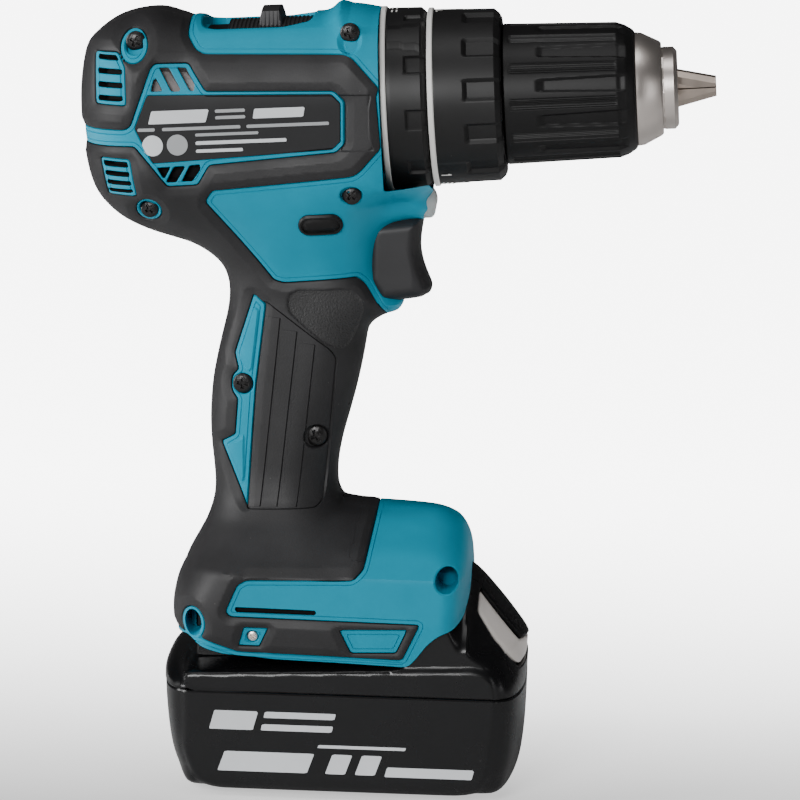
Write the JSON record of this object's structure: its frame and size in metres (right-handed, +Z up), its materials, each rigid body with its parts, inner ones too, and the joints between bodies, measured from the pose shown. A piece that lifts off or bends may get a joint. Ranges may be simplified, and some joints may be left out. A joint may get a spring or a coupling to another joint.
{
  "type": "cordless drill",
  "caption": "Pistol-grip cordless hammer drill with keyless chuck, torque and mode rings, two-speed gearbox and slide-on battery.",
  "frame": {"origin": "on the ground under the middle of the drill, the battery standing on z = 0", "axes": "+X towards the chuck, +Y to the left of someone holding the drill, +Z up; the spindle axis is pitched 3.9 degrees nose-up over the battery"},
  "size_m": [0.1964, 0.0778, 0.2434],
  "materials": {
    "teal_nylon": "moulded glass-filled nylon, fine satin grain",
    "grip_elastomer": "soft overmoulded elastomer, fine matt grain",
    "black_plastic": "moulded black plastic, satin",
    "battery_plastic": "semi-gloss black plastic",
    "steel": "satin nickel-plated steel",
    "dark_steel": "hardened and ground steel",
    "blackened_screw": "black phosphated steel",
    "die_cast": "as-cast alloy",
    "windings": "laminated core with enamelled copper windings",
    "sintered_steel": "sintered steel",
    "lens": "clear moulded lens",
    "light_grey": "warm light grey plastic",
    "circuit_board": "green laminate",
    "cells": "sleeved cells in a plastic holder"
  },
  "bodies": {
    "drill": {"housing_right": "teal_nylon", "housing_left": "teal_nylon", "grip_right": "grip_elastomer", "grip_left": "grip_elastomer", "housing_screw_1": "blackened_screw", "housing_screw_2": "blackened_screw", "housing_screw_3": "blackened_screw", "housing_screw_4": "blackened_screw", "housing_screw_5": "blackened_screw", "housing_screw_6": "blackened_screw", "housing_screw_7": "steel", "lamp_lens": "lens", "gear_case": "die_cast", "motor_bracket": "die_cast", "ring_gear_first": "sintered_steel", "ring_gear_third": "sintered_steel", "stator": "windings", "motor_rear_bearing": "steel", "motor_front_bearing": "steel", "spindle_bearing": "steel", "switch_unit": "black_plastic", "controller": "die_cast", "terminal_block": "black_plastic", "clutch_spring": "steel"},
    "trigger": {"trigger": "black_plastic"},
    "direction_lever": {"direction_lever": "black_plastic"},
    "speed_selector": {"speed_selector": "black_plastic", "ring_gear_second": "sintered_steel"},
    "mode_ring": {"mode_ring": "black_plastic"},
    "torque_ring": {"torque_ring": "black_plastic"},
    "spring_nut": {"spring_nut": "sintered_steel"},
    "rotor": {"rotor": "dark_steel", "fan": "black_plastic"},
    "carrier_first": {"carrier_first": "sintered_steel"},
    "carrier_second": {"carrier_second": "sintered_steel"},
    "spindle": {"carrier_third": "sintered_steel", "spindle": "steel", "chuck_body": "steel"},
    "sleeve": {"chuck_sleeve": "black_plastic", "chuck_cap": "steel", "chuck_nut": "sintered_steel"},
    "jaw_1": {"chuck_jaw_1": "dark_steel"},
    "jaw_2": {"chuck_jaw_2": "dark_steel"},
    "jaw_3": {"chuck_jaw_3": "dark_steel"},
    "battery": {"battery_case": "battery_plastic", "battery_cover": "battery_plastic", "cell_pack": "cells", "battery_board": "circuit_board", "button_spring": "steel"},
    "battery_button": {"battery_button": "light_grey"},
    "planet_first_1": {"planet_gear_first_1": "sintered_steel"},
    "planet_first_2": {"planet_gear_first_2": "sintered_steel"},
    "planet_first_3": {"planet_gear_first_3": "sintered_steel"},
    "planet_second_1": {"planet_gear_second_1": "sintered_steel"},
    "planet_second_2": {"planet_gear_second_2": "sintered_steel"},
    "planet_second_3": {"planet_gear_second_3": "sintered_steel"},
    "planet_third_1": {"planet_gear_third_1": "sintered_steel"},
    "planet_third_2": {"planet_gear_third_2": "sintered_steel"},
    "planet_third_3": {"planet_gear_third_3": "sintered_steel"}
  },
  "joints": [
    {"name": "trigger_pull", "type": "slide", "parent": "drill", "child": "trigger", "axis": [-1, 0, 0], "range_m": [0, 0.0062], "stiffness_N_per_m": 1000, "springref_m": -0.006},
    {"name": "direction_slide", "type": "slide", "parent": "drill", "child": "direction_lever", "axis": [0, 1, 0], "range_m": [-0.0025, 0.0025]},
    {"name": "speed_shift", "type": "slide", "parent": "drill", "child": "speed_selector", "axis": [-0.9977, 0, -0.068], "range_m": [0, 0.0085]},
    {"name": "mode_turn", "type": "hinge", "parent": "drill", "child": "mode_ring", "pos_m": [0, 0, 0.2145], "axis": [0.9977, 0, 0.068], "range_deg": [-35, 35]},
    {"name": "torque_turn", "type": "hinge", "parent": "drill", "child": "torque_ring", "pos_m": [0, 0, 0.2145], "axis": [0.9977, 0, 0.068], "range_deg": [-140, 140]},
    {"name": "nut_slide", "type": "slide", "parent": "drill", "child": "spring_nut", "axis": [0.9977, 0, 0.068], "range_m": [-0.0013, 0.0013], "deforming": ["clutch_spring"]},
    {"name": "motor_spin", "type": "hinge", "parent": "drill", "child": "rotor", "pos_m": [0, 0, 0.2145], "axis": [0.9977, 0, 0.068], "continuous": true},
    {"name": "carrier_first_spin", "type": "hinge", "parent": "drill", "child": "carrier_first", "pos_m": [0, 0, 0.2145], "axis": [0.9977, 0, 0.068], "continuous": true},
    {"name": "planet_first_1_spin", "type": "hinge", "parent": "carrier_first", "child": "planet_first_1", "pos_m": [-0.03909, 0, 0.19981], "axis": [0.9977, 0, 0.068], "continuous": true},
    {"name": "planet_first_2_spin", "type": "hinge", "parent": "carrier_first", "child": "planet_first_2", "pos_m": [-0.04031, 0.01039, 0.21776], "axis": [0.9977, 0, 0.068], "continuous": true},
    {"name": "planet_first_3_spin", "type": "hinge", "parent": "carrier_first", "child": "planet_first_3", "pos_m": [-0.04031, -0.01039, 0.21776], "axis": [0.9977, 0, 0.068], "continuous": true},
    {"name": "carrier_second_spin", "type": "hinge", "parent": "drill", "child": "carrier_second", "pos_m": [0, 0, 0.2145], "axis": [0.9977, 0, 0.068], "continuous": true},
    {"name": "planet_second_1_spin", "type": "hinge", "parent": "carrier_second", "child": "planet_second_1", "pos_m": [-0.02812, 0, 0.20056], "axis": [0.9977, 0, 0.068], "continuous": true},
    {"name": "planet_second_2_spin", "type": "hinge", "parent": "carrier_second", "child": "planet_second_2", "pos_m": [-0.02934, 0.01039, 0.21851], "axis": [0.9977, 0, 0.068], "continuous": true},
    {"name": "planet_second_3_spin", "type": "hinge", "parent": "carrier_second", "child": "planet_second_3", "pos_m": [-0.02934, -0.01039, 0.21851], "axis": [0.9977, 0, 0.068], "continuous": true},
    {"name": "spindle_spin", "type": "hinge", "parent": "drill", "child": "spindle", "pos_m": [0, 0, 0.2145], "axis": [0.9977, 0, 0.068], "continuous": true},
    {"name": "planet_third_1_spin", "type": "hinge", "parent": "spindle", "child": "planet_third_1", "pos_m": [-0.01515, 0, 0.20144], "axis": [0.9977, 0, 0.068], "continuous": true},
    {"name": "planet_third_2_spin", "type": "hinge", "parent": "spindle", "child": "planet_third_2", "pos_m": [-0.01637, 0.01039, 0.2194], "axis": [0.9977, 0, 0.068], "continuous": true},
    {"name": "planet_third_3_spin", "type": "hinge", "parent": "spindle", "child": "planet_third_3", "pos_m": [-0.01637, -0.01039, 0.2194], "axis": [0.9977, 0, 0.068], "continuous": true},
    {"name": "sleeve_turn", "type": "hinge", "parent": "spindle", "child": "sleeve", "pos_m": [0, 0, 0.2145], "axis": [0.9977, 0, 0.068], "range_deg": [0, 2880]},
    {"name": "jaw_1_slide", "type": "slide", "parent": "spindle", "child": "jaw_1", "axis": [-0.9484, -0.1294, -0.2893], "range_m": [0, 0.0202]},
    {"name": "jaw_2_slide", "type": "slide", "parent": "spindle", "child": "jaw_2", "axis": [-0.9637, 0.2588, -0.0657], "range_m": [0, 0.0202]},
    {"name": "jaw_3_slide", "type": "slide", "parent": "spindle", "child": "jaw_3", "axis": [-0.9789, -0.1294, 0.1579], "range_m": [0, 0.0202]},
    {"name": "battery_slide", "type": "slide", "parent": "drill", "child": "battery", "axis": [1, 0, 0], "range_m": [0, 0.088]},
    {"name": "button_press", "type": "slide", "parent": "battery", "child": "battery_button", "axis": [0, 0, -1], "range_m": [0, 0.0038], "stiffness_N_per_m": 600, "springref_m": -0.004, "deforming": ["button_spring"]}
  ],
  "couplings": [
    {"joint": "nut_slide", "follows": "torque_turn", "m_per_rad": 0.00053},
    {"joint": "carrier_first_spin", "follows": "motor_spin", "ratio": 0.25},
    {"joint": "planet_first_1_spin", "follows": "motor_spin", "ratio": -0.75},
    {"joint": "planet_first_2_spin", "follows": "motor_spin", "ratio": -0.75},
    {"joint": "planet_first_3_spin", "follows": "motor_spin", "ratio": -0.75},
    {"joint": "carrier_second_spin", "follows": "motor_spin", "ratio": 0.0625},
    {"joint": "planet_second_1_spin", "follows": "motor_spin", "ratio": -0.1875},
    {"joint": "planet_second_2_spin", "follows": "motor_spin", "ratio": -0.1875},
    {"joint": "planet_second_3_spin", "follows": "motor_spin", "ratio": -0.1875},
    {"joint": "spindle_spin", "follows": "motor_spin", "ratio": 0.015625},
    {"joint": "planet_third_1_spin", "follows": "motor_spin", "ratio": -0.046875},
    {"joint": "planet_third_2_spin", "follows": "motor_spin", "ratio": -0.046875},
    {"joint": "planet_third_3_spin", "follows": "motor_spin", "ratio": -0.046875},
    {"joint": "jaw_1_slide", "follows": "sleeve_turn", "m_per_rad": 0.0004},
    {"joint": "jaw_2_slide", "follows": "sleeve_turn", "m_per_rad": 0.0004},
    {"joint": "jaw_3_slide", "follows": "sleeve_turn", "m_per_rad": 0.0004}
  ]
}
